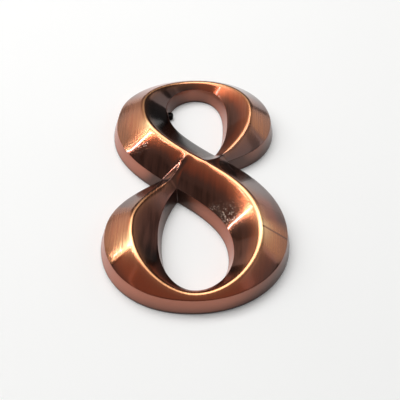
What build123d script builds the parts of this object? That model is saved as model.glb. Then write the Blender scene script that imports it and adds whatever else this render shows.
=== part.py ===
from build123d import *
import os
from math import cos, radians, tan
from typing import NamedTuple
import numpy as np

# House number: the figure 8, moulded in one piece with a cored back.
# It lies on its back, face up: X runs across the figure, Y up the figure and Z out of its face.
# The figure is a pen stroke: a smooth centre line through nine nodes, with a width at each node.
# The stroke's two sides make three outlines: the outside, the upper counter and the lower counter.
# Drafted walls rise from the outlines, and from the walls' top a roof climbs at one slope, so that
# the roofs of facing outlines meet in a ridge along the middle of the stroke.

# Driving dimensions, in millimetres and degrees
height = 50.0
wall_height = 2.45
wall_draft = 15.0
roof_slope = 34.2
corner_radius = 0.15
shell_wall = 1.8

# Widths of the stroke between the walls' top edges
upper_arm_width = 1.75
upper_right_width = 7.7
hairline_top = 2.75
upper_left_width = 8.15
spine_width = 9.9
lower_right_width = 8.45
hairline_bottom = 1.85
lower_left_width = 7.9
lower_arm_width = 2.1

# Places of the centre line, from the middle of the figure
upper_right_x = 8.6
upper_right_y = 14.3
top_x = -0.15
upper_left_x = -9.9
upper_left_y = 14.15
crossing_x = -1.25
crossing_y = 1.5
spine_heading = -35.0
lower_right_x = 10.0
lower_right_y = -12.2
bottom_x = 0.15
lower_left_x = -9.3
lower_left_y = -12.2

# Ends of the two thin arms inside the spine, from the crossing
upper_arm_dx = 3.7
upper_arm_dy = 0.9
upper_arm_heading = 53.0
lower_arm_dx = 0.9
lower_arm_dy = 0.05
lower_arm_heading = 42.0

# Half-round stub that the moulding gate left at the foot of the upper counter's wall
gate_place = 2.83
gate_radius = 0.6
gate_height = 0.9

# Fineness of the outlines
points_per_run = 15
points_per_search = 400
small_share = 1e-5

wall_run = wall_height * tan(radians(wall_draft))
rise = tan(radians(roof_slope))
top_y = height / 2 - wall_run - hairline_top / 2
bottom_y = -height / 2 + wall_run + hairline_bottom / 2
upper_arm_x = crossing_x + upper_arm_dx
upper_arm_y = crossing_y + upper_arm_dy
lower_arm_x = crossing_x + lower_arm_dx
lower_arm_y = crossing_y + lower_arm_dy


class Node(NamedTuple):
    """A point of the centre line: place, heading, stroke width, the width's growth for each millimetre of
    the line, and the line's two handles there, as shares of the distance to the node before and after."""

    x: float
    y: float
    heading: float
    width: float
    growth: float
    handle_before: float
    handle_after: float


nodes = [
    Node(upper_arm_x, upper_arm_y, upper_arm_heading, upper_arm_width, 0.1, 0.0, 0.32),
    Node(upper_right_x, upper_right_y, 92.0, upper_right_width, 0.0, 0.45, 0.36),
    Node(top_x, top_y, 180.0, hairline_top, -0.13, 0.41, 0.44),
    Node(upper_left_x, upper_left_y, 272.0, upper_left_width, 0.42, 0.29, 0.35),
    Node(crossing_x, crossing_y, spine_heading, spine_width, -0.04, 0.54, 0.23),
    Node(lower_right_x, lower_right_y, -87.0, lower_right_width, -0.33, 0.43, 0.40),
    Node(bottom_x, bottom_y, 180.0, hairline_bottom, 0.1, 0.35, 0.28),
    Node(lower_left_x, lower_left_y, 88.0, lower_left_width, -0.11, 0.50, 0.26),
    Node(lower_arm_x, lower_arm_y, lower_arm_heading, lower_arm_width, 0.16, 0.36, 0.0),
]

# The nodes where the outlines are divided, and the spans of the stroke in which the arms meet the spine.
# A place of 2.5 along the stroke is half way from node 2 to node 3.
UPPER_STOPS = [1, 2, 3]
LOWER_STOPS = [5, 6, 7]
UPPER_ARM = (0.0, 0.9)
LOWER_ARM = (7.1, 8.0)
SPINE = (3.2, 4.8)

# The two sides of the stroke, as quarter turns from its direction
LEFT = 1j
RIGHT = -1j


def stroke(places):
    """Centre, half width, direction and the half width's growth along the stroke, at some places.
    Points of the plane are complex numbers. Between nodes the line is a cubic Bezier curve, and the half
    width is the cubic that has the nodes' widths and growths at its ends."""
    places = np.asarray(places, float)
    first = np.clip(places.astype(int), 0, len(nodes) - 2)
    t = places - first
    start = Node(*np.array(nodes)[first].T)
    end = Node(*np.array(nodes)[first + 1].T)
    p0 = start.x + 1j * start.y
    p3 = end.x + 1j * end.y
    handle_out = start.handle_after * abs(p3 - p0)
    handle_in = end.handle_before * abs(p3 - p0)
    p1 = p0 + handle_out * np.exp(1j * np.radians(start.heading))
    p2 = p3 - handle_in * np.exp(1j * np.radians(end.heading))
    centre = (1 - t) ** 3 * p0 + 3 * (1 - t) ** 2 * t * p1 + 3 * (1 - t) * t**2 * p2 + t**3 * p3
    speed = 3 * (1 - t) ** 2 * (p1 - p0) + 6 * (1 - t) * t * (p2 - p1) + 3 * t**2 * (p3 - p2)
    widening = end.width - start.width
    pull_out = 3 * handle_out * start.growth
    pull_in = 3 * handle_in * end.growth
    width = start.width + widening * (3 * t**2 - 2 * t**3)
    width += pull_out * (t**3 - 2 * t**2 + t) + pull_in * (t**3 - t**2)
    growth = widening * (6 * t - 6 * t**2)
    growth += pull_out * (3 * t**2 - 4 * t + 1) + pull_in * (3 * t**2 - 2 * t)
    return centre, width / 2, speed / abs(speed), growth / 2 / abs(speed)


def side(places, hand, level):
    """Points and outward normals of one side of the stroke, a level outside the walls' top edge.
    The side is the envelope of the circles of the half width about the centre line."""
    centre, half, along, growth = stroke(places)
    normal = along * (-growth + hand * np.sqrt(1 - growth**2))
    return centre + (half + level) * normal, normal


def cross(a, b):
    """Cross product of plane vectors."""
    return (np.conj(a) * b).imag


def meeting(hand_a, span_a, hand_b, span_b, level):
    """Places on two sides of the stroke where they cross, within two spans of places."""
    places_a = np.linspace(*span_a, points_per_search)
    places_b = np.linspace(*span_b, points_per_search)
    points_a, _ = side(places_a, hand_a, level)
    points_b, _ = side(places_b, hand_b, level)
    step_a = np.diff(points_a)[:, None]
    step_b = np.diff(points_b)[None]
    apart = points_b[None, :-1] - points_a[:-1, None]
    share_a = cross(apart, step_b) / cross(step_a, step_b)
    share_b = cross(apart, step_a) / cross(step_a, step_b)
    hits = (share_a >= 0) & (share_a < 1) & (share_b >= 0) & (share_b < 1)
    a, b = np.argwhere(hits)[0]
    place_a = places_a[a] + share_a[a, b] * (places_a[1] - places_a[0])
    place_b = places_b[b] + share_b[a, b] * (places_b[1] - places_b[0])
    return place_a, place_b


def at_height(points, z):
    """Points of the plane lifted to a height."""
    return [Vector(p.real, p.imag, z) for p in points]


def run_edges(hand, stops, level, z):
    """Spline edges of one side between successive stops, with the side's own speed at each end."""
    edges = []
    for first, last in zip(stops, stops[1:]):
        shares = np.linspace(0, 1, points_per_run)
        points, _ = side(first + (last - first) * shares, hand, level)
        near_ends, _ = side(first + (last - first) * np.array([small_share, 1 - small_share]), hand, level)
        speeds = [(near_ends[0] - points[0]) / small_share, (points[-1] - near_ends[1]) / small_share]
        edges.append(
            Edge.make_spline(
                at_height(points, z),
                tangents=at_height(speeds, 0),
                parameters=list(shares),
                scale=False,
            )
        )
    return edges


def corner_edge(hand_a, place_a, hand_b, place_b, level, corner_level, z):
    """Arc that rounds the inside corner between two sides, about the point where they cross."""
    hub, normal_a = side([place_a], hand_a, corner_level)
    _, normal_b = side([place_b], hand_b, corner_level)
    between = (normal_a + normal_b) / abs(normal_a + normal_b)
    start, _ = side([place_a], hand_a, level)
    end, _ = side([place_b], hand_b, level)
    middle = hub - (corner_level - level) * between
    return Edge.make_three_point_arc(*at_height([start[0], middle[0], end[0]], z))


def outside(level, corner_level, z):
    """Outline round the whole figure, with a notch on each side of the waist."""
    right_start, left_end = meeting(RIGHT, UPPER_ARM, LEFT, SPINE, corner_level)
    right_end, left_start = meeting(RIGHT, SPINE, LEFT, LOWER_ARM, corner_level)
    edges = run_edges(RIGHT, [right_start, *UPPER_STOPS, right_end], level, z)
    edges.append(corner_edge(RIGHT, right_end, LEFT, left_start, level, corner_level, z))
    edges += run_edges(LEFT, [left_start, *reversed(LOWER_STOPS), left_end], level, z)
    edges.append(corner_edge(LEFT, left_end, RIGHT, right_start, level, corner_level, z))
    return Wire(edges)


def upper_counter(level, corner_level, z):
    """Outline of the upper opening, with one corner where the upper arm meets the spine."""
    start, end = meeting(LEFT, UPPER_ARM, LEFT, SPINE, corner_level)
    edges = run_edges(LEFT, [start, *UPPER_STOPS, end], level, z)
    edges.append(corner_edge(LEFT, end, LEFT, start, level, corner_level, z))
    return Wire(edges)


def lower_counter(level, corner_level, z):
    """Outline of the lower opening, with one corner where the lower arm meets the spine."""
    start, end = meeting(RIGHT, SPINE, RIGHT, LOWER_ARM, corner_level)
    edges = run_edges(RIGHT, [start, *LOWER_STOPS, end], level, z)
    edges.append(corner_edge(RIGHT, end, RIGHT, start, level, corner_level, z))
    return Wire(edges)


def flared(outline, levels):
    """Solid through an outline drawn at several levels and heights."""
    wires = [outline(level, max(level, 0.0) + corner_radius, z) for level, z in levels]
    return Solid.make_loft(wires, ruled=True)


def figure(levels):
    """The figure between its outlines: the drafted outside less the two flared counters."""
    return flared(outside, levels) - flared(upper_counter, levels) - flared(lower_counter, levels)


def gate_stub():
    """Half-round stub at the foot of the upper counter's wall, with its other half inside the wall."""
    foot, _ = side([gate_place], LEFT, wall_run)
    upright = (Align.CENTER, Align.CENTER, Align.MIN)
    return Pos(foot[0].real, foot[0].imag, 0) * Cylinder(gate_radius, gate_height, align=upright)


# Levels of the outside: foot, top of the wall, and a level above the highest ridge
roof_reach = spine_width / 2 + 2 * corner_radius
skin = [(wall_run, 0.0), (0.0, wall_height), (-roof_reach, wall_height + rise * roof_reach)]

# Levels of the core, a shell wall inside the drafted wall and the roof
wall_inset = shell_wall / cos(radians(wall_draft))
roof_drop = shell_wall / cos(radians(roof_slope))
lean = wall_run / wall_height
core_level = (lean * roof_drop - wall_inset) / (1 - lean * rise)
core_edge = (core_level, wall_height - rise * core_level - roof_drop)
core_top = (-roof_reach, wall_height + rise * roof_reach - roof_drop)
core = [(wall_run - wall_inset, 0.0), core_edge, core_top]

number = figure(skin) + gate_stub() - figure(core)
middle = number.bounding_box().center()
number = Pos(-middle.X, -middle.Y, 0) * number

os.makedirs("parts", exist_ok=True)
export_step(number, "parts/number_eight.step")
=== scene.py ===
from math import cos, pi, radians, sin, tan
from typing import NamedTuple
import bpy
import numpy as np
from mathutils import Matrix, Quaternion, Vector


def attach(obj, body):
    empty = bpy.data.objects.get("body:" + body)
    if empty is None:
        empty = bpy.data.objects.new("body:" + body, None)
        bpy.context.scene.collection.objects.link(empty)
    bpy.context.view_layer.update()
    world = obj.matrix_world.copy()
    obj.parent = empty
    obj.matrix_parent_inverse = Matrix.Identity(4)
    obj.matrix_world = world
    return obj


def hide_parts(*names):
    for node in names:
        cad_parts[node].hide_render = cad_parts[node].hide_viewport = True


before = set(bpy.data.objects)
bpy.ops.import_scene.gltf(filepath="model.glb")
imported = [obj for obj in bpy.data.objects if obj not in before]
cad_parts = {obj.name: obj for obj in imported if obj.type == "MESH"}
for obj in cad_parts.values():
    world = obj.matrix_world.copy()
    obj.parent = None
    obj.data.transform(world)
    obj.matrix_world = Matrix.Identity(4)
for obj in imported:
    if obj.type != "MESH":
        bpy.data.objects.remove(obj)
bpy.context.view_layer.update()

# House number: the figure 8 lying on its back, face up, in brushed antique copper.
# Lengths are in millimetres until the mesh is made, and points of the plane are complex numbers.

MM = 0.001

# Form of the figure, with the values of the part's source
height = 50.0
wall_height = 2.45
wall_draft = radians(15.0)
roof_slope = radians(34.2)
corner_radius = 0.15
shell_wall = 1.8

# Widths of the stroke between the walls' top edges
upper_arm_width = 1.75
upper_right_width = 7.7
hairline_top = 2.75
upper_left_width = 8.15
spine_width = 9.9
lower_right_width = 8.45
hairline_bottom = 1.85
lower_left_width = 7.9
lower_arm_width = 2.1

# Places of the centre line, from the middle of the figure
upper_right_x = 8.6
upper_right_y = 14.3
top_x = -0.15
upper_left_x = -9.9
upper_left_y = 14.15
crossing_x = -1.25
crossing_y = 1.5
spine_heading = -35.0
lower_right_x = 10.0
lower_right_y = -12.2
bottom_x = 0.15
lower_left_x = -9.3
lower_left_y = -12.2

# Ends of the two thin arms inside the spine, from the crossing
upper_arm_dx = 3.7
upper_arm_dy = 0.9
upper_arm_heading = 53.0
lower_arm_dx = 0.9
lower_arm_dy = 0.05
lower_arm_heading = 42.0

# Softening that the plating and the brushing leave on the edges
ridge_rounding = 1.1
arm_thinning = 0.75
edge_radius = 0.15
foot_radius = 0.22

# Lines of the arms' short ridges, from the thin end of each arm to the spine's ridge
ARMS = [(-4.4 - 2.5j, -2.3 + 0.6j), (3.95 + 4.2j, 1.8 + 0.9j)]
arm_reach = 1.5

# Stub that the moulding gate left at the foot of the upper counter's wall
gate_place = 2.83
gate_radius = 0.6
gate_height = 0.9
gate_sides = 48

# Shares of the stub's radius and height up its side and over its softened rim
GATE_PROFILE = [(1.0, 0.0), (1.0, 0.3), (1.0, 0.9), (0.97, 0.96), (0.88, 1.0), (0.5, 1.02)]

# Fineness of the surface
column_step = 0.11
run_samples = 420
corner_samples = 260
search_samples = 400
slice_samples = 4000
edge_rows = 5
roof_rows = 14
roof_grading = 2.2

# Guards of the searches: least bend of a parabola, least reach inwards, and a radius for no circle
least_bend = 1e-12
least_reach = 1e-6
no_circle = 1e6

# The finish below is told by places and lines of the plane, each with its reach, and by spans, where a smooth
# step starts and ends: of how far a face looks to one side, of the depth below the ridge or of a height.

# Waist, where the lower bowl's finish goes over to the upper bowl's
WAIST = (-6.0, 4.0)

# Faces that look to the left, and to either side
LEFTWARDS = (0.4, 0.9)
SIDEWAYS = (0.5, 0.9)

# Notches beside the waist, and a third place at the lower right; at all three the patina is made darker by
# painted shade
NOTCHES = [-7.0 + 1.3j, 5.8 + 2.2j]
SHADED = [*NOTCHES, 5.8 - 17.0j]
notch_reach = 4.5

# Valleys beside the arms, and the flow line across the lower right face
VALLEYS = [(-5.8 - 1.6j, -3.3 + 0.3j), (5.1 + 3.4j, 2.9 + 1.4j)]
valley_reach = 1.2
FLOW_LINE = (10.2 - 12.1j, 14.2 - 12.3j)
flow_reach = 0.14

# Face of the lower arm that is painted lighter and greyer than those about it, as a painted reflection
REFLECTION_PLACE = -4.9 - 5.6j
reflection_reach = 2.2
reflection_lightening = 0.4
reflection_greying = 0.7

# Wear of the ridge, less along the two arms and none on their short ridges, and a painted highlight about a
# place at the lower right
ridge_wear = 0.85
HIGHLIGHT_PLACE = 8.5 - 8.5j
highlight_size = 3.4
highlight_wear = 0.5
PALE_RIDGES = [(3.9 + 4.2j, 6.6 + 7.6j), (6.6 + 7.6j, 8.3 + 11.0j), (-4.4 - 2.5j, -6.8 - 6.0j)]
pale_reach = 1.2
pale_loss = 0.5
unworn_reach = 0.8

# Brushing: its edges on the outer faces and how soft they are, its fading, and its reach below the ridge
upper_left_edge = 0.825
lower_left_edge = 0.857
left_softness = 0.012
LEFT_FADE = (0.3, 0.7)
RIGHT_FACE = (0.85, 0.93)
upper_right_edge = 0.15
lower_right_edge = 0.06
upper_right_softness = 0.23
lower_right_softness = 0.12
FADING_DEPTHS = (0.5, 4.5)
depth_fading = 0.45
inner_brushing = 0.06
inner_widening = 0.5
ridge_reach = 0.45
wide_reach = 1.0
# Widening of the brushing about the painted highlight, on the inner faces
highlight_reach = 0.5

# Darkness of the roof, with painted shade in the notches
full_dark = 0.75
DARK_DEPTHS = (0.8, 5.0)
RIGHTWARDS = (-0.3, 0.5)
inner_dark = 0.2
left_dark = 0.15
right_dark = 0.55
inner_notch_shade = 0.2
outer_notch_shade = 0.5

# Black patina with a painted dark reflection on the roof's inner faces that look to the right and up, less on
# those that look steeply up
UPWARDS = (0.05, 0.4)
STEEPLY_UP = (0.6, 0.85)
steep_loss = 0.6
lower_black = 0.55
black_patina_and_reflection_dark = 0.3

# Darkness of the walls: painted shade towards the right, at the inside corners and towards the foot, and
# painted light towards the left
wall_dark = 0.2
WALL_SIDES = (0.2, 0.9)
right_wall_shade = 0.45
left_wall_painted_light = 0.35
SHADED_CORNERS = [-5.8 - 1.6j, -3.0 - 3.5j, 2.75 + 4.9j, 5.1 + 3.4j]
corner_shade_reach = 3.0
FOOT_SHADOW_HEIGHTS = (0.1, 0.5)
foot_shadow = 0.4

# Painted grey reflection on the outer faces, and at a place high on the upper bowl's left inner face
GREY_UPWARDS = (0.2, 0.6)
LOWER_GREY_SIDE = (0.3, 0.8)
UPPER_GREY_SIDE = (0.0, 0.5)
lower_grey = 0.5
upper_grey = 0.85
WARM_PLACE = -8.0 + 22.0j
warm_reach = 7.0
GREY_REFLECTION_PLACE = -6.2 + 17.0j
grey_reflection_reach = 3.8

# Golden wear with a painted highlight beside the ridge: place, size and reach below the ridge on the outer
# face
GILT_AND_HIGHLIGHT_SPOTS = [(-8.8 + 7.9j, 1.8, 2.0), (-10.2 - 17.0j, 2.3, 3.0), (10.0 - 12.0j, 2.8, 2.4)]
inner_gilt_and_highlight_reach = 0.5

# Lacquer on the patina, and two glossy places
full_lacquer = 0.4
side_lacquer = 0.26
gloss_lacquer = 0.95
GLOSS_PLACES = [5.8 - 9.9j, -11.0 + 5.2j]
gloss_reach = 2.0

# Patches of fine pits: place and size
PITTED = [(5.0 - 8.9j, 1.3), (2.9 - 7.2j, 0.6), (-9.3 + 4.6j, 0.7)]

# Colours of the copper, in linear light
# Black patina, also used for the painted dark reflection on the inner faces that look to the right and up
BLACK_PATINA = (0.003, 0.0025, 0.0025)
DARK_PATINA = (0.1, 0.033, 0.02)
# Grey of a painted reflection
PAINTED_GREY_REFLECTION = (0.15, 0.1, 0.09)
RED_PATINA = (0.37, 0.07, 0.025)
BRUSHED_COPPER = (0.6, 0.245, 0.12)
WORN_GOLD = (0.85, 0.44, 0.21)
# Gold of the painted highlights beside the ridge
GILT_AND_HIGHLIGHT_GOLD = (1.0, 0.68, 0.36)
# Painted glint of the specks in the pits
SPECK_GLINT = (1.0, 0.85, 0.75)
# Painted shade of the walls
WALL_SHADE = (0.1, 0.05, 0.038)
WALL_COPPER = (0.49, 0.178, 0.112)

# Spans of darkness from red to dark patina and from dark to black, and of nearness to the worn ridge
DARK_RANGE = (0.0, 0.75)
BLACK_RANGE = (0.75, 1.0)
RIDGE_RANGE = (0.45, 1.0)

# Roughness of each finish
polished_roughness = 0.12
matt_roughness = 0.38
brushed_roughness = 0.35
ridge_roughness = 0.4
speck_roughness = 0.6
wall_roughness = 0.46

# Lacquer left on the other finishes, and its own gloss
brushed_coat = 0.2
ridge_coat = 0.05
wall_coat = 0.6
coat_roughness = 0.04
coat_ior = 1.5

# Streaks of the brushing and of the patina, as cells for each metre along the axes, and what they do
BRUSH_CELLS = (4200.0, 140.0, 0.0)
brush_detail = 3.0
PATINA_CELLS = (1500.0, 130.0, 0.0)
patina_detail = 4.0
noise_roughness = 0.6
STREAK_RANGE = (0.35, 0.65)
BRUSH_SHARES = (0.68, 1.0)
patina_streaking = 0.035

# Specks in the pits, and the relief of specks and streaks, its distance in metres
UNSTRETCHED = (1.0, 1.0, 1.0)
speck_cells = 5000.0
speck_detail = 1.0
SPECK_RANGE = (0.63, 0.69)
speck_relief = 4.0
bump_strength = 0.25
bump_distance = 0.00006

# Table and studio, in metres
floor_half = 0.2
FLOOR_WHITE = (0.97, 0.97, 0.96, 1)
floor_roughness = 0.6
floor_shine = 0.2
WORLD_GREY = (0.1, 0.1, 0.1, 1)
lamp_distance = 0.60
ceiling_distance = 0.63

# Camera at the photograph's angle
view_elevation = radians(48.18)
view_azimuth = radians(-1.18)
view_roll = radians(4.46)
view_distance = 112.2
view_target = Vector((0.73, -3.21, 0.0))
focal_pixels = 693.0
image_pixels = 400
sensor_width = 36.0
clip_start = 0.005

# Values that follow from the form
wall_run = wall_height * tan(wall_draft)
rise = tan(roof_slope)
lean = tan(wall_draft)
top_y = height / 2 - wall_run - hairline_top / 2
bottom_y = -height / 2 + wall_run + hairline_bottom / 2
upper_arm_x = crossing_x + upper_arm_dx
upper_arm_y = crossing_y + upper_arm_dy
lower_arm_x = crossing_x + lower_arm_dx
lower_arm_y = crossing_y + lower_arm_dy

# Core of the back: the depths inside the walls' top edge where its wall starts and where its roof starts
wall_inset = shell_wall / cos(wall_draft)
roof_drop = shell_wall / cos(roof_slope)
core_foot = wall_inset - wall_run
core_edge = (wall_inset - lean * roof_drop) / (1 - lean * rise)

# Rows over the core's roof, as shares of the way up to its ridge
CORE_SHARES = (0.75, 0.5, 0.25)

# Rows about the core's edge and foot: depth, and the greatest share of the half width that it takes
core_margin = 0.05
core_softness = 0.02
CORE_ROWS = [
    (core_edge + core_margin, 0.97),
    (core_edge, 0.955),
    (core_edge - core_softness, 0.94),
    (core_foot + core_softness, 0.92),
    (core_foot, 0.9),
    (core_foot - core_margin, 0.86),
]

# Rows round the foot, as inset and height in foot radii
FOOT_ROWS = [(3.0, 0.0), (1.0, 0.0), (0.3, 0.15)]

# Heights of the rows up the wall, which end below the cut that its rounded top edge makes
edge_cut = edge_radius * tan((pi / 2 - wall_draft - roof_slope) / 2)
WALL_ROWS = [
    foot_radius,
    2 * foot_radius,
    0.3 * wall_height,
    0.6 * wall_height,
    wall_height - 2.5 * edge_cut,
]


class Node(NamedTuple):
    """A point of the stroke's centre line: place, heading, width, the width's growth for each millimetre,
    and the line's two handles there as shares of the distance to the node before and after."""

    x: float
    y: float
    heading: float
    width: float
    growth: float
    handle_before: float
    handle_after: float


nodes = [
    Node(upper_arm_x, upper_arm_y, upper_arm_heading, upper_arm_width, 0.1, 0.0, 0.32),
    Node(upper_right_x, upper_right_y, 92.0, upper_right_width, 0.0, 0.45, 0.36),
    Node(top_x, top_y, 180.0, hairline_top, -0.13, 0.41, 0.44),
    Node(upper_left_x, upper_left_y, 272.0, upper_left_width, 0.42, 0.29, 0.35),
    Node(crossing_x, crossing_y, spine_heading, spine_width, -0.04, 0.54, 0.23),
    Node(lower_right_x, lower_right_y, -87.0, lower_right_width, -0.33, 0.43, 0.40),
    Node(bottom_x, bottom_y, 180.0, hairline_bottom, 0.1, 0.35, 0.28),
    Node(lower_left_x, lower_left_y, 88.0, lower_left_width, -0.11, 0.50, 0.26),
    Node(lower_arm_x, lower_arm_y, lower_arm_heading, lower_arm_width, 0.16, 0.36, 0.0),
]

# Runs of each outline: a side of the stroke, the span of places where the run starts, its stops, and the
# span where it ends. A place of 2.5 is half way from node 2 to node 3.
LEFT = 1j
RIGHT = -1j
UPPER_ARM = (0.0, 0.9)
LOWER_ARM = (7.1, 8.0)
SPINE = (3.2, 4.8)
OUTSIDE_RUNS = [(RIGHT, UPPER_ARM, [1, 2, 3], SPINE), (LEFT, LOWER_ARM, [7, 6, 5], SPINE)]
UPPER_RUNS = [(LEFT, UPPER_ARM, [1, 2, 3], SPINE)]
LOWER_RUNS = [(RIGHT, SPINE, [5, 6, 7], LOWER_ARM)]
OUTLINES = [OUTSIDE_RUNS, UPPER_RUNS, LOWER_RUNS]

# Place of the outside among the outlines
OUTSIDE = 0


class Ridge(NamedTuple):
    """A ridge between two outlines: indices on each of them, and the circles that touch both."""

    own: np.ndarray
    other: np.ndarray
    radius: np.ndarray
    centre: np.ndarray


class Skin(NamedTuple):
    """Points of the surface, with what the finish asks of each: nearness to a ridge, a mask of the walls,
    the way its outline faces, a mask of the faces round the outside, and the depth below the ridge."""

    plane: np.ndarray
    z: np.ndarray
    near_ridge: np.ndarray
    on_wall: np.ndarray
    facing: np.ndarray
    outer: np.ndarray
    below: np.ndarray


def stroke(places):
    """Centre, half width, direction and the half width's growth along the stroke.
    Between nodes the centre is a cubic Bezier curve, and the width is the cubic with the nodes' widths and
    growths at its ends."""
    places = np.asarray(places, float)
    first = np.clip(places.astype(int), 0, len(nodes) - 2)
    t = places - first
    start = Node(*np.array(nodes)[first].T)
    end = Node(*np.array(nodes)[first + 1].T)
    p0 = start.x + 1j * start.y
    p3 = end.x + 1j * end.y
    handle_out = start.handle_after * abs(p3 - p0)
    handle_in = end.handle_before * abs(p3 - p0)
    p1 = p0 + handle_out * np.exp(1j * np.radians(start.heading))
    p2 = p3 - handle_in * np.exp(1j * np.radians(end.heading))
    centre = (1 - t) ** 3 * p0 + 3 * (1 - t) ** 2 * t * p1 + 3 * (1 - t) * t**2 * p2 + t**3 * p3
    speed = 3 * (1 - t) ** 2 * (p1 - p0) + 6 * (1 - t) * t * (p2 - p1) + 3 * t**2 * (p3 - p2)
    widening = end.width - start.width
    pull_out = 3 * handle_out * start.growth
    pull_in = 3 * handle_in * end.growth
    width = start.width + widening * (3 * t**2 - 2 * t**3)
    width += pull_out * (t**3 - 2 * t**2 + t) + pull_in * (t**3 - t**2)
    growth = widening * (6 * t - 6 * t**2)
    growth += pull_out * (3 * t**2 - 4 * t + 1) + pull_in * (3 * t**2 - 2 * t)
    return centre, width / 2, speed / abs(speed), growth / 2 / abs(speed)


def side(places, hand, level):
    """Points and outward normals of one side of the stroke: the envelope of circles of the half width about
    the centre line, moved outwards by the level."""
    centre, half, along, growth = stroke(places)
    normal = along * (-growth + hand * np.sqrt(1 - growth**2))
    return centre + (half + level) * normal, normal


def cross(a, b):
    """Cross product of plane vectors."""
    return (np.conj(a) * b).imag


def meeting(hand_a, span_a, hand_b, span_b, level):
    """Places on two sides of the stroke where they cross, from the first pair of segments that do."""
    places_a = np.linspace(*span_a, search_samples)
    places_b = np.linspace(*span_b, search_samples)
    points_a, _ = side(places_a, hand_a, level)
    points_b, _ = side(places_b, hand_b, level)
    step_a = np.diff(points_a)[:, None]
    step_b = np.diff(points_b)[None]
    apart = points_b[None, :-1] - points_a[:-1, None]
    share_a = cross(apart, step_b) / cross(step_a, step_b)
    share_b = cross(apart, step_a) / cross(step_a, step_b)
    hits = (share_a >= 0) & (share_a < 1) & (share_b >= 0) & (share_b < 1)
    a, b = np.argwhere(hits)[0]
    place_a = places_a[a] + share_a[a, b] * (places_a[1] - places_a[0])
    place_b = places_b[b] + share_b[a, b] * (places_b[1] - places_b[0])
    return place_a, place_b


def outline(runs, level):
    """Points and outward normals round an outline at a level. Each run of a side is followed by an arc that
    rounds the inside corner, about the point where the two sides cross at the corner's own level."""
    corner_level = max(level, 0.0) + corner_radius
    after = runs[1:] + runs[:1]
    corners = [
        meeting(hand, end_span, next_hand, next_span, corner_level)
        for (hand, _, _, end_span), (next_hand, next_span, _, _) in zip(runs, after)
    ]
    points = []
    normals = []
    for i, (hand, _, stops, _) in enumerate(runs):
        end, next_start = corners[i]
        stations = [corners[i - 1][1], *stops, end]
        for first, last in zip(stations, stations[1:]):
            places = np.linspace(first, last, run_samples, endpoint=False)
            run_points, run_normals = side(places, hand, level)
            points.append(run_points)
            normals.append(run_normals)
        hub, end_normal = side([end], hand, corner_level)
        _, start_normal = side([next_start], after[i][0], corner_level)
        turn = np.angle(start_normal / end_normal)
        fan = end_normal * np.exp(1j * turn * np.linspace(0, 1, corner_samples, endpoint=False))
        points.append(hub - (corner_level - level) * fan)
        normals.append(fan)
    return np.concatenate(points), np.concatenate(normals)


def parabola(before, middle, after):
    """Place and value of the least point of a parabola through three values one step apart."""
    bend = np.maximum(before - 2 * middle + after, least_bend)
    place = np.clip((before - after) / (2 * bend), -0.5, 0.5)
    return place, middle - bend * place**2 / 2


def touching(points, normals, others):
    """Radius of the circle inside the stroke that touches each point of an outline and, first, another
    outline: the least of distance squared over twice the reach inwards. Also where it touches the other."""
    apart = others[None] - points[:, None]
    inwards = -(np.conj(normals)[:, None] * apart).real
    reach = np.maximum(inwards, least_reach)
    radius = np.where(inwards > least_reach, abs(apart) ** 2 / (2 * reach), no_circle)
    nearest = radius.argmin(1)
    rows = np.arange(len(points))
    three = [radius[rows, (nearest + step) % len(others)] for step in (-1, 0, 1)]
    shift, least = parabola(*three)
    return least, nearest + shift


def distance(points, loop):
    """Distance from each point to a closed outline, worked out in slices and refined between samples."""
    slices = []
    for part in np.array_split(points, len(points) // slice_samples + 1):
        square = abs(part[:, None] - loop[None]) ** 2
        nearest = square.argmin(1)
        rows = np.arange(len(part))
        three = [square[rows, (nearest + step) % len(loop)] for step in (-1, 0, 1)]
        slices.append(np.sqrt(np.maximum(parabola(*three)[1], 0)))
    return np.concatenate(slices)


def at(values, index):
    """Values of a closed loop at fractional indices."""
    low = np.floor(index).astype(int)
    share = index - low
    return values[low % len(values)] * (1 - share) + values[(low + 1) % len(values)] * share


def index_at(indices, index, period):
    """One index of another loop, read between two entries of a list of them."""
    low = int(np.floor(index))
    first = indices[low % len(indices)]
    last = indices[(low + 1) % len(indices)]
    last = first + (last - first + period / 2) % period - period / 2
    return first + (last - first) * (index - low)


def ridge_line(own, own_ends, radius, other_index, other_ends, other_count):
    """A ridge between two outlines: the centres of the circles that touch both, at even steps along it."""
    points, normals = own
    inner = np.arange(np.floor(own_ends[0]) + 1, np.ceil(own_ends[1]))
    index = np.concatenate([[own_ends[0]], inner, [own_ends[1]]])
    facing = other_index[inner.astype(int) % len(points)]
    facing = np.unwrap(np.concatenate([[other_ends[0]], facing, [other_ends[1]]]), period=other_count)
    normal = at(normals, index)
    reach = at(radius, index)
    centre = at(points, index) - reach * normal / abs(normal)
    length = np.concatenate([[0], np.cumsum(abs(np.diff(centre)))])
    even = np.linspace(0, length[-1], int(length[-1] / column_step) + 2)
    return Ridge(
        own=np.interp(even, length, index),
        other=np.interp(even, length, facing),
        radius=np.interp(even, length, reach),
        centre=np.interp(even, length, centre.real) + 1j * np.interp(even, length, centre.imag),
    )


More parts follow.
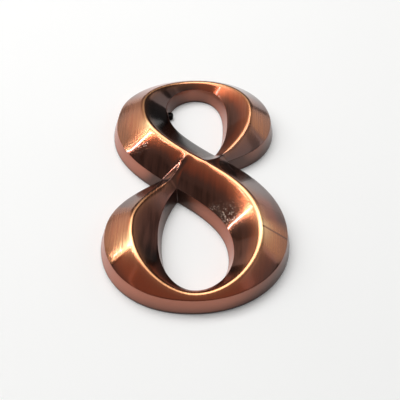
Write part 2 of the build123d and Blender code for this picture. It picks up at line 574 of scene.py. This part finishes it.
def ridge_network(outside, upper, lower):
    """The three ridges between the outlines, which meet at a left and a right node on the spine, where one
    circle touches all three outlines: round the upper bowl, round the lower bowl and along the spine."""
    to_upper, upper_index = touching(*outside, upper[0])
    to_lower, lower_index = touching(*outside, lower[0])
    across, across_index = touching(*upper, lower[0])
    lead = to_upper - to_lower
    changes = np.flatnonzero((lead < 0) != (np.roll(lead, -1) < 0))
    left, right = changes if lead[changes[0]] < 0 else changes[::-1]
    count, upper_count, lower_count = (len(loop[0]) for loop in (outside, upper, lower))
    left = left + lead[left] / (lead[left] - lead[(left + 1) % count])
    right = right + lead[right] / (lead[right] - lead[(right + 1) % count])
    left_upper = index_at(upper_index, left, upper_count)
    left_lower = index_at(lower_index, left, lower_count)
    right_upper = index_at(upper_index, right, upper_count)
    right_lower = index_at(lower_index, right, lower_count)
    upper_ridge = ridge_line(
        outside, (right, left + count), to_upper, upper_index, (right_upper, left_upper), upper_count
    )
    lower_ridge = ridge_line(
        outside, (left, right), to_lower, lower_index, (left_lower, right_lower), lower_count
    )
    spine_ridge = ridge_line(
        upper, (left_upper, right_upper), across, across_index, (left_lower, right_lower), lower_count
    )
    return upper_ridge, lower_ridge, spine_ridge


def shared_points(ridges):
    """The points of all ridges in one list, the left and the right node first, which the ridges share.
    Gives the numbers of the points along each ridge, and every point's centre and radius."""
    left = 0
    right = 1
    count = 2
    numbers = []
    for ridge, (first, last) in zip(ridges, [(right, left), (left, right), (left, right)]):
        inner = np.arange(count, count + len(ridge.own) - 2)
        numbers.append(np.concatenate([[first], inner, [last]]))
        count += len(inner)
    centre = np.zeros(count, complex)
    radius = np.zeros(count)
    for ridge, along in zip(ridges[::-1], numbers[::-1]):
        centre[along] = ridge.centre
        radius[along] = ridge.radius
    return numbers, centre, radius


def core_height(depth):
    """Height of the back above the rim at a depth inside the walls' top edge: the flat rim, then the core's
    steep wall, then the core's roof under the figure's own."""
    wall = (depth - core_foot) / lean
    roof = wall_height + rise * depth - roof_drop
    return np.where(depth < core_foot, 0.0, np.where(depth < core_edge, wall, roof))


def near_lines(plane, lines, reach):
    """Nearness to the nearest of some straight lines of the plane: a bell of the distance to it."""
    near = np.zeros(len(plane))
    for start, end in lines:
        along = np.clip(((plane - start) / (end - start)).real, 0, 1)
        apart = abs(plane - start - along * (end - start))
        near = np.maximum(near, np.exp(-((apart / reach) ** 2)))
    return near


def soft_roof(points, depth, *other_depths):
    """Height of the roof and nearness to a ridge, from the distances to the three outlines. The height is
    the wall's plus the rise times a soft least distance. Where two distances differ by less than the ridge's
    rounding, the least is lowered by a quarter of the rounding times the square of the share that is left.
    The arms' short ridges are sharper."""
    rounding = ridge_rounding * (1 - arm_thinning * near_lines(points, ARMS, arm_reach))
    soft_depth = depth
    near = np.zeros(len(points))
    for other in other_depths:
        share = np.clip(1 - abs(other - soft_depth) / rounding, 0, 1)
        soft_depth = np.minimum(soft_depth, other) - rounding / 4 * share**2
        near = np.maximum(near, share)
    return wall_height + rise * soft_depth, near


def section_rows(top, foot, centre, radius):
    """Rows of one strip of the surface, from the core's ridge out along the back, round the foot, up the
    wall and over its rounded edge, an arc that touches the wall and the roof. Each row is its points in the
    plane and their heights. Also gives the way inwards and the depth where the roof starts."""
    inwards = (centre - top) / abs(centre - top)
    outwards = (foot - top) / wall_run
    level = np.zeros(len(top))
    rows = []
    roof_depth, roof_limit = CORE_ROWS[0]
    core_start = np.minimum(roof_depth, roof_limit * radius)
    for share in CORE_SHARES:
        depth = core_start + (radius - core_start) * share
        rows.append((top + inwards * depth, core_height(depth)))
    for wanted, limit in CORE_ROWS:
        depth = np.minimum(wanted, limit * radius)
        rows.append((top + inwards * depth, core_height(depth)))
    for inset, z in FOOT_ROWS:
        rows.append((top + outwards * (wall_run - inset * foot_radius), level + z * foot_radius))
    for z in WALL_ROWS:
        rows.append((top + outwards * (wall_run - lean * z), level + z))
    hub_out = edge_cut * sin(wall_draft) - edge_radius * cos(wall_draft)
    hub_z = wall_height - edge_cut * cos(wall_draft) - edge_radius * sin(wall_draft)
    for angle in np.linspace(wall_draft, pi / 2 - roof_slope, edge_rows):
        out = hub_out + edge_radius * cos(angle)
        away = outwards if out > 0 else -inwards
        rows.append((top + away * out, level + hub_z + edge_radius * sin(angle)))
    return rows, inwards, edge_cut * cos(roof_slope)


def ridge_skin(loops, centre, radius):
    """The ridges' points on top, then the points of the core's ridge under them, all half outside."""
    count = len(centre)
    depths = np.sort([distance(centre, points) for points, _ in loops], axis=0)
    z, near = soft_roof(centre, *depths)
    return Skin(
        plane=np.append(centre, centre),
        z=np.append(z, core_height(radius)),
        near_ridge=np.append(near, np.zeros(count)),
        on_wall=np.zeros(2 * count),
        facing=np.zeros(2 * count, complex),
        outer=np.full(2 * count, 0.5),
        below=np.zeros(2 * count),
    )


def strip_skin(loops, feet, own, index, centre, radius):
    """One outline's strip of the surface, row by row: the back, the foot and the wall, then the roof, whose
    rows crowd towards the ridge by a power of their share of the way. The wall's mask runs from the foot to
    the last but one row of the rounded edge."""
    points, normals = loops[own]
    top = at(points, index)
    rows, inwards, roof_start = section_rows(top, at(feet[own], index), centre, radius)
    share = 1 - (np.arange(roof_rows, 0, -1) / (roof_rows + 1)) ** roof_grading
    depth = roof_start + (radius - roof_start) * share[:, None]
    roof_points = (top + inwards * depth).ravel()
    others = [distance(roof_points, loops[other][0]) for other in range(len(loops)) if other != own]
    roof_z, roof_near = soft_roof(roof_points, depth.ravel(), *others)
    row_count = len(rows) + roof_rows
    wall_end = len(rows) - 1
    wall_start = len(rows) - edge_rows - len(WALL_ROWS) - len(FOOT_ROWS)
    on_wall = np.zeros((row_count, len(index)))
    on_wall[wall_start:wall_end] = 1.0
    return Skin(
        plane=np.concatenate([row[0] for row in rows] + [roof_points]),
        z=np.concatenate([row[1] for row in rows] + [roof_z]),
        near_ridge=np.append(np.zeros(len(rows) * len(index)), roof_near),
        on_wall=on_wall.ravel(),
        facing=np.tile(at(normals, index), row_count),
        outer=np.full(row_count * len(index), 1.0 if own == OUTSIDE else 0.0),
        below=np.append(np.tile(radius, len(rows)), (radius - depth).ravel()),
    )


def grid_cells(grid):
    """Quads between the rows of a grid of point numbers, whose columns close into a ring."""
    beside = np.roll(grid, -1, axis=1)
    return np.stack([grid[:-1], beside[:-1], beside[1:], grid[1:]], -1).reshape(-1, 4)


def figure_surface():
    """The figure's closed surface: for each outline a strip of sections, from the core's ridge below, round
    the foot and the wall, to the ridge on top. Strips on both sides of a ridge share its points, so the
    three strips close. Gives the skin, its quads and the middle of the foot, which moves to the origin."""
    loops = [outline(runs, 0.0) for runs in OUTLINES]
    feet = [outline(runs, wall_run)[0] for runs in OUTLINES]
    ridges = ridge_network(*loops)
    numbers, centre, radius = shared_points(ridges)
    upper, lower, spine = ridges
    on_upper, on_lower, on_spine = numbers
    columns = [
        (np.append(upper.own[:-1], lower.own[:-1]), np.append(on_upper[:-1], on_lower[:-1])),
        (np.append(upper.other[:-1], spine.own[:-1]), np.append(on_upper[:-1], on_spine[:-1])),
        (np.append(lower.other[:-1], spine.other[:0:-1]), np.append(on_lower[:-1], on_spine[:0:-1])),
    ]
    skins = [ridge_skin(loops, centre, radius)]
    quads = []
    used = 2 * len(centre)
    for own, (index, along) in enumerate(columns):
        skin = strip_skin(loops, feet, own, index, centre[along], radius[along])
        grid = used + np.arange(len(skin.z)).reshape(-1, len(index))
        cells = grid_cells(np.vstack([len(centre) + along, grid, along]))
        quads.append(cells if own == OUTSIDE else cells[:, ::-1])
        skins.append(skin)
        used += len(skin.z)
    whole = Skin(*(np.concatenate(values) for values in zip(*skins)))
    foot = feet[OUTSIDE]
    middle_x = (foot.real.min() + foot.real.max()) / 2
    middle_y = (foot.imag.min() + foot.imag.max()) / 2
    middle = middle_x + 1j * middle_y
    return whole._replace(plane=whole.plane - middle), np.concatenate(quads), middle


def closing(ring):
    """Quads that close a ring, each between two steps on facing sides of it. They face up for a ring that
    turns to the left."""
    half = len(ring) // 2
    back = ring[::-1]
    return np.stack([ring[: half - 1], ring[1:half], back[1:half], back[: half - 1]], -1)


def gate_surface(middle):
    """The gate's stub: rings of one radius up to a softened rim, then smaller ones to a flat top. Gives its
    points in the plane, their heights and the quads."""
    foot, _ = side([gate_place], LEFT, wall_run)
    hub = foot[0] - middle
    turn = np.exp(2j * pi * np.arange(gate_sides) / gate_sides)
    rings = np.array([radius * gate_radius * turn + hub for radius, _ in GATE_PROFILE])
    levels = np.array([[level * gate_height] * gate_sides for _, level in GATE_PROFILE])
    ids = np.arange(rings.size).reshape(rings.shape)
    quads = np.concatenate([grid_cells(ids), closing(ids[-1]), closing(ids[0])[:, ::-1]])
    return rings.ravel(), levels.ravel(), quads


def mesh_object(name, plane, z, quads):
    """An object at the origin whose mesh has these points, in millimetres, and quads, all smooth."""
    points = np.stack([plane.real, plane.imag, z], -1)
    mesh = bpy.data.meshes.new(name)
    mesh.vertices.add(len(points))
    mesh.vertices.foreach_set("co", (points * MM).astype(np.float32).ravel())
    mesh.loops.add(quads.size)
    mesh.loops.foreach_set("vertex_index", quads.astype(np.int32).ravel())
    mesh.polygons.add(len(quads))
    mesh.polygons.foreach_set("loop_start", np.arange(0, quads.size, 4, dtype=np.int32))
    mesh.polygons.foreach_set("use_smooth", np.ones(len(quads), dtype=bool))
    mesh.update(calc_edges=True)
    obj = bpy.data.objects.new(name, mesh)
    bpy.context.scene.collection.objects.link(obj)
    return obj


def set_attribute(obj, name, values, stub_value=0.0):
    """A number for each vertex of the mesh, which a material reads by its name: the figure's values, then
    one number for the stub."""
    stub = np.full(len(obj.data.vertices) - len(values), stub_value)
    layer = obj.data.attributes.new(name, "FLOAT", "POINT")
    layer.data.foreach_set("value", np.append(values, stub).astype(np.float32))


def smooth(low, high, values):
    """Smooth step from 0 at the low value to 1 at the high one."""
    t = np.clip((values - low) / (high - low), 0, 1)
    return t * t * (3 - 2 * t)


def between(start, end, share):
    """Value that goes from the start to the end by a share."""
    return start + (end - start) * share


def nearness(skin, places, reach):
    """Bells about some places of the plane."""
    return np.minimum(sum(np.exp(-((abs(skin.plane - place) / reach) ** 2)) for place in places), 1)


def in_upper_bowl(skin):
    """Smooth step up the figure, from the lower bowl to the upper one."""
    return smooth(*WAIST, skin.plane.imag)


def inner_left(skin):
    """Smooth step of how far to the left the inner faces look."""
    return (1 - skin.outer) * smooth(*LEFTWARDS, -skin.facing.real)


def seams(skin):
    """Nearness to the valleys beside the arms or to the arms' unworn short ridges, and to the flow line."""
    valleys = near_lines(skin.plane, VALLEYS, valley_reach)
    short_ridges = near_lines(skin.plane, ARMS, unworn_reach)
    return np.maximum(valleys, short_ridges), near_lines(skin.plane, [FLOW_LINE], flow_reach)


def wear_and_highlight(skin):
    """How worn the ridge is: the nearness to it, with a painted highlight about a place at the lower right,
    less along the two arms and not at all on the arms' short ridges."""
    worn = skin.near_ridge * (1 - near_lines(skin.plane, ARMS, unworn_reach))
    worn = worn * (ridge_wear + highlight_wear * nearness(skin, [HIGHLIGHT_PLACE], 2 * highlight_size))
    return worn * (1 - pale_loss * near_lines(skin.plane, PALE_RIDGES, pale_reach))


def brushing(skin):
    """How far the brushing has cut through the dark patina: on the outer faces that look to the left and to
    the right, less so far below the ridge and in the notches, slightly on the inner faces that look to the
    left, and elsewhere as an exponential of the depth below the ridge. The seams have none."""
    upper = in_upper_bowl(skin)
    left_edge = between(lower_left_edge, upper_left_edge, upper)
    left = smooth(-left_softness, left_softness, -skin.facing.real - left_edge)
    left = left * (1 - smooth(*LEFT_FADE, skin.facing.imag))
    right_edge = between(lower_right_edge, upper_right_edge, upper)
    softness = between(lower_right_softness, upper_right_softness, upper)
    right = smooth(-1, 1, (right_edge - skin.facing.imag) / softness)
    right = smooth(*RIGHT_FACE, skin.facing.real) * right
    sides = skin.outer * (left + right) * (1 - depth_fading * smooth(*FADING_DEPTHS, skin.below))
    leftwards = inner_left(skin)
    sides = sides * (1 - nearness(skin, NOTCHES, notch_reach)) + inner_brushing * leftwards
    wide = np.maximum(inner_widening * leftwards, skin.outer * smooth(*SIDEWAYS, abs(skin.facing.real)))
    reach = between(ridge_reach, wide_reach, wide)
    # The brushing reaches further down on the inner faces about the painted highlight
    reach = reach + highlight_reach * (1 - skin.outer) * nearness(skin, [HIGHLIGHT_PLACE], highlight_size)
    hollows, flow = seams(skin)
    return np.maximum(sides, np.exp(-skin.below / reach)) * (1 - hollows) * (1 - flow)


def darkening_and_shade(skin):
    """How dark the patina is, with painted shade and painted reflections. On the roof more so away from the
    ridge, along the seams and on the inner faces; painted shade in the notches and at a place at the lower
    right; black patina with a painted dark reflection, most on the inner faces that look to the right and up;
    and a painted reflection that lightens a face of the lower arm. On the walls painted shade at the inside
    corners, towards the right and towards the foot, and painted light towards the left."""
    inside = 1 - skin.outer
    rightwards = smooth(*RIGHTWARDS, skin.facing.real)
    inner = inside * (inner_dark + right_dark * rightwards) + left_dark * inner_left(skin)
    # Painted shade in the notches and at a place at the lower right
    notches = between(inner_notch_shade, outer_notch_shade, skin.outer) * nearness(skin, SHADED, notch_reach)
    roof = np.minimum(full_dark * smooth(*DARK_DEPTHS, skin.below) + inner + notches, full_dark)
    # Black patina and a painted dark reflection on the inner faces that look to the right and up
    black_patina_and_reflection = smooth(*UPWARDS, skin.facing.imag) * (1 - steep_loss * smooth(*STEEPLY_UP, skin.facing.imag))
    black_patina_and_reflection = black_patina_and_reflection * between(lower_black, 1.0, in_upper_bowl(skin))
    roof = roof + black_patina_and_reflection_dark * inside * rightwards * black_patina_and_reflection
    # Painted reflection that lightens a face of the lower arm
    roof = roof - reflection_lightening * inside * nearness(skin, [REFLECTION_PLACE], reflection_reach)
    hollows, flow = seams(skin)
    roof = np.maximum(roof, full_dark * np.maximum(hollows, flow))
    # Painted shade on the walls towards the right, towards the foot and at the inside corners, and painted
    # light towards the left
    to_right = smooth(*WALL_SIDES, skin.facing.real)
    to_left = smooth(*WALL_SIDES, -skin.facing.real)
    foot_shadow_share = 2 - smooth(0.0, wall_height, skin.z) - smooth(*FOOT_SHADOW_HEIGHTS, skin.z)
    walls = wall_dark + right_wall_shade * to_right - left_wall_painted_light * to_left + foot_shadow * foot_shadow_share
    walls = walls + nearness(skin, SHADED_CORNERS, corner_shade_reach)
    return np.minimum(between(roof, walls, skin.on_wall), 1)


def grey_reflection(skin):
    """How far a painted grey reflection covers the patina: on the outer faces that look up the figure or to
    the right, but not at the upper bowl's top left, and on two inner faces: high on the upper bowl's left and
    on the lower arm."""
    rightwards = lower_grey * smooth(*LOWER_GREY_SIDE, skin.facing.real)
    upper_right = upper_grey * in_upper_bowl(skin) * smooth(*UPPER_GREY_SIDE, skin.facing.real)
    upwards = smooth(*GREY_UPWARDS, skin.facing.imag)
    outside = np.maximum(upwards, np.maximum(rightwards, upper_right))
    outside = skin.outer * outside * (1 - nearness(skin, [WARM_PLACE], warm_reach))
    # Painted grey reflection at two places on the inner faces
    patches = nearness(skin, [GREY_REFLECTION_PLACE], grey_reflection_reach) + reflection_greying * nearness(skin, [REFLECTION_PLACE], reflection_reach)
    return (1 - skin.on_wall) * np.maximum(outside, (1 - skin.outer) * patches)


def gilt_and_highlight(skin):
    """How golden the plate is beside the ridge, golden wear with a painted highlight: at three places, on the
    outer faces and, less far down, on the inner faces that look to the left, where brushing has cut through."""
    gold = np.zeros(len(skin.below))
    for place, size, outer_reach in GILT_AND_HIGHLIGHT_SPOTS:
        reach = between(inner_gilt_and_highlight_reach, outer_reach, skin.outer)
        gold = np.maximum(gold, nearness(skin, [place], size) * np.exp(-skin.below / reach))
    return gold * np.maximum(skin.outer, inner_left(skin)) * brushing(skin)


def lacquering(skin):
    """How much of the lacquer is left on the patina: less on the inner faces that look to the sides, and
    most at two glossy places."""
    sideways = (1 - skin.outer) * smooth(*SIDEWAYS, abs(skin.facing.real))
    lacquer = between(full_lacquer, side_lacquer, sideways)
    return between(lacquer, gloss_lacquer, nearness(skin, GLOSS_PLACES, gloss_reach))


def matting(skin):
    """How matt the patina is: on the upper bowl's inner face that looks to the left."""
    return in_upper_bowl(skin) * inner_left(skin)


def pitting(skin):
    """How pitted the plate is: bells about small patches."""
    return np.minimum(sum(nearness(skin, [place], size) for place, size in PITTED), 1)


skin, quads, middle = figure_surface()
stub_plane, stub_z, stub_quads = gate_surface(middle)
eight = mesh_object(
    "eight",
    np.append(skin.plane, stub_plane),
    np.append(skin.z, stub_z),
    np.concatenate([quads, stub_quads + len(skin.z)]),
)
# Wear of the ridge, with a painted highlight at the lower right
set_attribute(eight, "near_ridge", wear_and_highlight(skin))
set_attribute(eight, "on_wall", skin.on_wall)
set_attribute(eight, "brushed", brushing(skin))
# Patina darkness with painted shade and painted reflections
set_attribute(eight, "darkened_and_shaded", darkening_and_shade(skin), stub_value=1.0)
set_attribute(eight, "reflected_grey", grey_reflection(skin))
set_attribute(eight, "pitted", pitting(skin))
set_attribute(eight, "matted", matting(skin))
set_attribute(eight, "gilded_and_highlit", gilt_and_highlight(skin))
set_attribute(eight, "lacquered", lacquering(skin))

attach(eight, "root")
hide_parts("number_eight")


def material(name):
    """A new material with its shader and its node tree."""
    mat = bpy.data.materials.new(name)
    mat.use_nodes = True
    tree = mat.node_tree
    return mat, tree.nodes["Principled BSDF"], tree


def add(tree, kind, **settings):
    """A node with its properties and the values of its input sockets set by name."""
    node = tree.nodes.new(kind)
    for key, value in settings.items():
        if hasattr(node, key):
            setattr(node, key, value)
        else:
            node.inputs[key.replace("_", " ")].default_value = value
    return node


def noise(tree, stretch, detail, scale=1.0):
    """Noise in the object's own space, in cells for each metre, stretched along each axis."""
    link = tree.links.new
    place = add(tree, "ShaderNodeTexCoord")
    size = add(tree, "ShaderNodeMapping", Scale=stretch)
    grain = add(tree, "ShaderNodeTexNoise", Scale=scale, Detail=detail, Roughness=noise_roughness)
    link(place.outputs["Object"], size.inputs["Vector"])
    link(size.outputs["Vector"], grain.inputs["Vector"])
    return grain.outputs["Fac"]


def ranged(tree, value, low, high, to_low=0.0, to_high=1.0):
    """A value mapped from one range to another by a smooth step and held inside it."""
    node = add(tree, "ShaderNodeMapRange", interpolation_type="SMOOTHSTEP")
    for key, number in (("From Min", low), ("From Max", high), ("To Min", to_low), ("To Max", to_high)):
        node.inputs[key].default_value = number
    tree.links.new(value, node.inputs["Value"])
    return node.outputs["Result"]


def maths(tree, operation, a, b):
    """Sum, product or other joining of two values or numbers."""
    node = add(tree, "ShaderNodeMath", operation=operation)
    for socket, value in zip(node.inputs, (a, b)):
        if isinstance(value, (int, float)):
            socket.default_value = value
        else:
            tree.links.new(value, socket)
    return node.outputs["Value"]


def blend(tree, share, a, b):
    """Colour a going over to colour b. Each is a colour or a socket."""
    node = add(tree, "ShaderNodeMix", data_type="RGBA")
    tree.links.new(share, node.inputs["Factor"])
    for key, colour in (("A", a), ("B", b)):
        socket = next(i for i in node.inputs if i.name == key and i.type == "RGBA")
        if isinstance(colour, tuple):
            socket.default_value = (*colour, 1)
        else:
            tree.links.new(colour, socket)
    return next(o for o in node.outputs if o.type == "RGBA")


def blend_value(tree, share, a, b):
    """Value a going over to value b. Each is a number or a socket."""
    node = add(tree, "ShaderNodeMix", data_type="FLOAT")
    tree.links.new(share, node.inputs["Factor"])
    for socket, value in zip(node.inputs[2:4], (a, b)):
        if isinstance(value, (int, float)):
            socket.default_value = value
        else:
            tree.links.new(value, socket)
    return node.outputs["Result"]


def attribute(tree, name):
    """A number that the mesh carries at each vertex."""
    return add(tree, "ShaderNodeAttribute", attribute_name=name).outputs["Fac"]


def antique_copper():
    """Brushed antique copper: red, dark and black patina, with painted grey and dark reflections, under clear
    lacquer, cut through by brushing up the figure, with specks in the pits painted bright as glints, a golden
    worn ridge with painted highlights and satin walls with painted shade."""
    mat, shader, tree = material("antique_copper")
    link = tree.links.new
    streaks = noise(tree, BRUSH_CELLS, brush_detail)
    patina_streaks = noise(tree, PATINA_CELLS, patina_detail)
    wall = attribute(tree, "on_wall")
    ridge = ranged(tree, attribute(tree, "near_ridge"), *RIDGE_RANGE)
    cut = ranged(tree, streaks, *STREAK_RANGE, *BRUSH_SHARES)
    brushed = maths(tree, "MULTIPLY", attribute(tree, "brushed"), cut)
    specks = ranged(tree, noise(tree, UNSTRETCHED, speck_detail, speck_cells), *SPECK_RANGE)
    specks = maths(tree, "MULTIPLY", specks, attribute(tree, "pitted"))

    # Colour
    darkened_and_shaded = attribute(tree, "darkened_and_shaded")
    streaking = ranged(tree, patina_streaks, *STREAK_RANGE, -patina_streaking, patina_streaking)
    dark = ranged(tree, maths(tree, "ADD", darkened_and_shaded, streaking), 0.0, 1.0)
    black = ranged(tree, dark, *BLACK_RANGE)
    patina = blend(tree, ranged(tree, dark, *DARK_RANGE), RED_PATINA, DARK_PATINA)
    patina = blend(tree, black, patina, BLACK_PATINA)
    # Painted grey reflection over the patina
    patina = blend(tree, attribute(tree, "reflected_grey"), patina, PAINTED_GREY_REFLECTION)
    plate = blend(tree, brushed, patina, BRUSHED_COPPER)
    # Specks painted bright as glints
    plate = blend(tree, specks, plate, SPECK_GLINT)
    gilded_and_highlit = attribute(tree, "gilded_and_highlit")
    # Gold of the worn ridge, brighter where a highlight is painted
    gold = blend(tree, gilded_and_highlit, WORN_GOLD, GILT_AND_HIGHLIGHT_GOLD)
    roof = blend(tree, ridge, blend(tree, gilded_and_highlit, plate, gold), gold)
    # Walls go from their copper to their painted shade
    walls = blend(tree, ranged(tree, darkened_and_shaded, 0.0, 1.0), WALL_COPPER, WALL_SHADE)
    link(blend(tree, wall, roof, walls), shader.inputs["Base Color"])
    shader.inputs["Metallic"].default_value = 1.0

    # Roughness
    roughness = blend_value(tree, attribute(tree, "matted"), polished_roughness, matt_roughness)
    roughness = blend_value(tree, brushed, roughness, brushed_roughness)
    roughness = blend_value(tree, ridge, roughness, ridge_roughness)
    roughness = blend_value(tree, specks, roughness, speck_roughness)
    link(blend_value(tree, wall, roughness, wall_roughness), shader.inputs["Roughness"])

    # Lacquer
    lacquer = blend_value(tree, black, attribute(tree, "lacquered"), 0.0)
    lacquer = blend_value(tree, brushed, lacquer, brushed_coat)
    lacquer = blend_value(tree, ridge, lacquer, ridge_coat)
    link(blend_value(tree, wall, lacquer, wall_coat), shader.inputs["Coat Weight"])
    shader.inputs["Coat Roughness"].default_value = coat_roughness
    shader.inputs["Coat IOR"].default_value = coat_ior

    # Relief
    cuts = maths(tree, "MULTIPLY", streaks, brushed)
    relief = maths(tree, "ADD", cuts, maths(tree, "MULTIPLY", specks, speck_relief))
    bump = add(tree, "ShaderNodeBump", Strength=bump_strength, Distance=bump_distance)
    link(relief, bump.inputs["Height"])
    link(bump.outputs["Normal"], shader.inputs["Normal"])
    return mat


def pale_floor():
    """Matt white table."""
    mat, shader, _ = material("pale_floor")
    shader.inputs["Base Color"].default_value = FLOOR_WHITE
    shader.inputs["Roughness"].default_value = floor_roughness
    shader.inputs["Specular IOR Level"].default_value = floor_shine
    return mat


eight.data.materials.append(antique_copper())

floor_mesh = bpy.data.meshes.new("floor")
floor_corners = [(-floor_half, -floor_half, 0), (floor_half, -floor_half, 0)]
floor_corners += [(floor_half, floor_half, 0), (-floor_half, floor_half, 0)]
floor_mesh.from_pydata(floor_corners, [], [(0, 1, 2, 3)])
floor_mesh.materials.append(pale_floor())
floor = bpy.data.objects.new("floor", floor_mesh)
bpy.context.scene.collection.objects.link(floor)


def softbox(name, azimuth, elevation, width, depth, radiance, roll=0.0, away=lamp_distance):
    """A rectangular lamp that faces the figure. Azimuth is from the figure's up, positive to its right, and
    the roll turns the lamp about its own middle."""
    a = radians(azimuth)
    e = radians(elevation)
    lamp = bpy.data.lights.new(name, "AREA")
    lamp.shape = "RECTANGLE"
    lamp.size = width
    lamp.size_y = depth
    lamp.energy = radiance * pi * width * depth
    obj = bpy.data.objects.new(name, lamp)
    obj.location = Vector((sin(a) * cos(e), cos(a) * cos(e), sin(e))) * away
    facing_figure = obj.location.to_track_quat("Z", "Y")
    obj.rotation_euler = (facing_figure @ Quaternion((0, 0, 1), radians(roll))).to_euler()
    bpy.context.scene.collection.objects.link(obj)
    return obj


softbox("overhead", azimuth=-25, elevation=62, width=0.55, depth=0.35, radiance=4.55)
softbox("strip", azimuth=-76, elevation=36, width=0.010, depth=0.20, radiance=75.0, roll=10)
softbox("strip_top", azimuth=-82, elevation=52, width=0.03, depth=0.08, radiance=25.0)
softbox("left_fill", azimuth=-52, elevation=16, width=0.32, depth=0.25, radiance=0.8)
softbox("left_high", azimuth=-56, elevation=38, width=0.26, depth=0.20, radiance=0.3)
softbox("left_upper", azimuth=-105, elevation=35, width=0.36, depth=0.17, radiance=0.36)
softbox("right_fill", azimuth=57, elevation=16, width=0.48, depth=0.38, radiance=0.6)
softbox("right_upper", azimuth=92, elevation=40, width=0.45, depth=0.30, radiance=0.28)

# The ceiling looks straight down
ceiling = softbox(
    "ceiling",
    azimuth=180,
    elevation=72,
    width=1.3,
    depth=0.6,
    radiance=0.28,
    away=ceiling_distance,
)
ceiling.rotation_euler = (0, 0, 0)

world = bpy.data.worlds.new("studio")
bpy.context.scene.world = world
world.use_nodes = True
world.node_tree.nodes["Background"].inputs["Color"].default_value = WORLD_GREY
world.node_tree.nodes["Background"].inputs["Strength"].default_value = 1.0

# The camera stands back from its target, level at first and then rolled
back = Vector(
    (
        sin(view_azimuth) * cos(view_elevation),
        -cos(view_azimuth) * cos(view_elevation),
        sin(view_elevation),
    )
)
level_right = Vector((cos(view_azimuth), sin(view_azimuth), 0))
level_up = back.cross(level_right)
right = cos(view_roll) * level_right + sin(view_roll) * level_up
up = cos(view_roll) * level_up - sin(view_roll) * level_right
camera_data = bpy.data.cameras.new("camera")
camera_data.sensor_width = sensor_width
camera_data.lens = sensor_width * focal_pixels / image_pixels
camera_data.clip_start = clip_start
camera = bpy.data.objects.new("camera", camera_data)
place = (view_target + back * view_distance) * MM
turn = Matrix((right, up, back)).transposed()
camera.matrix_world = Matrix.Translation(place) @ turn.to_4x4()
bpy.context.scene.collection.objects.link(camera)
bpy.context.scene.camera = camera
bpy.context.scene.view_settings.view_transform = "Standard"
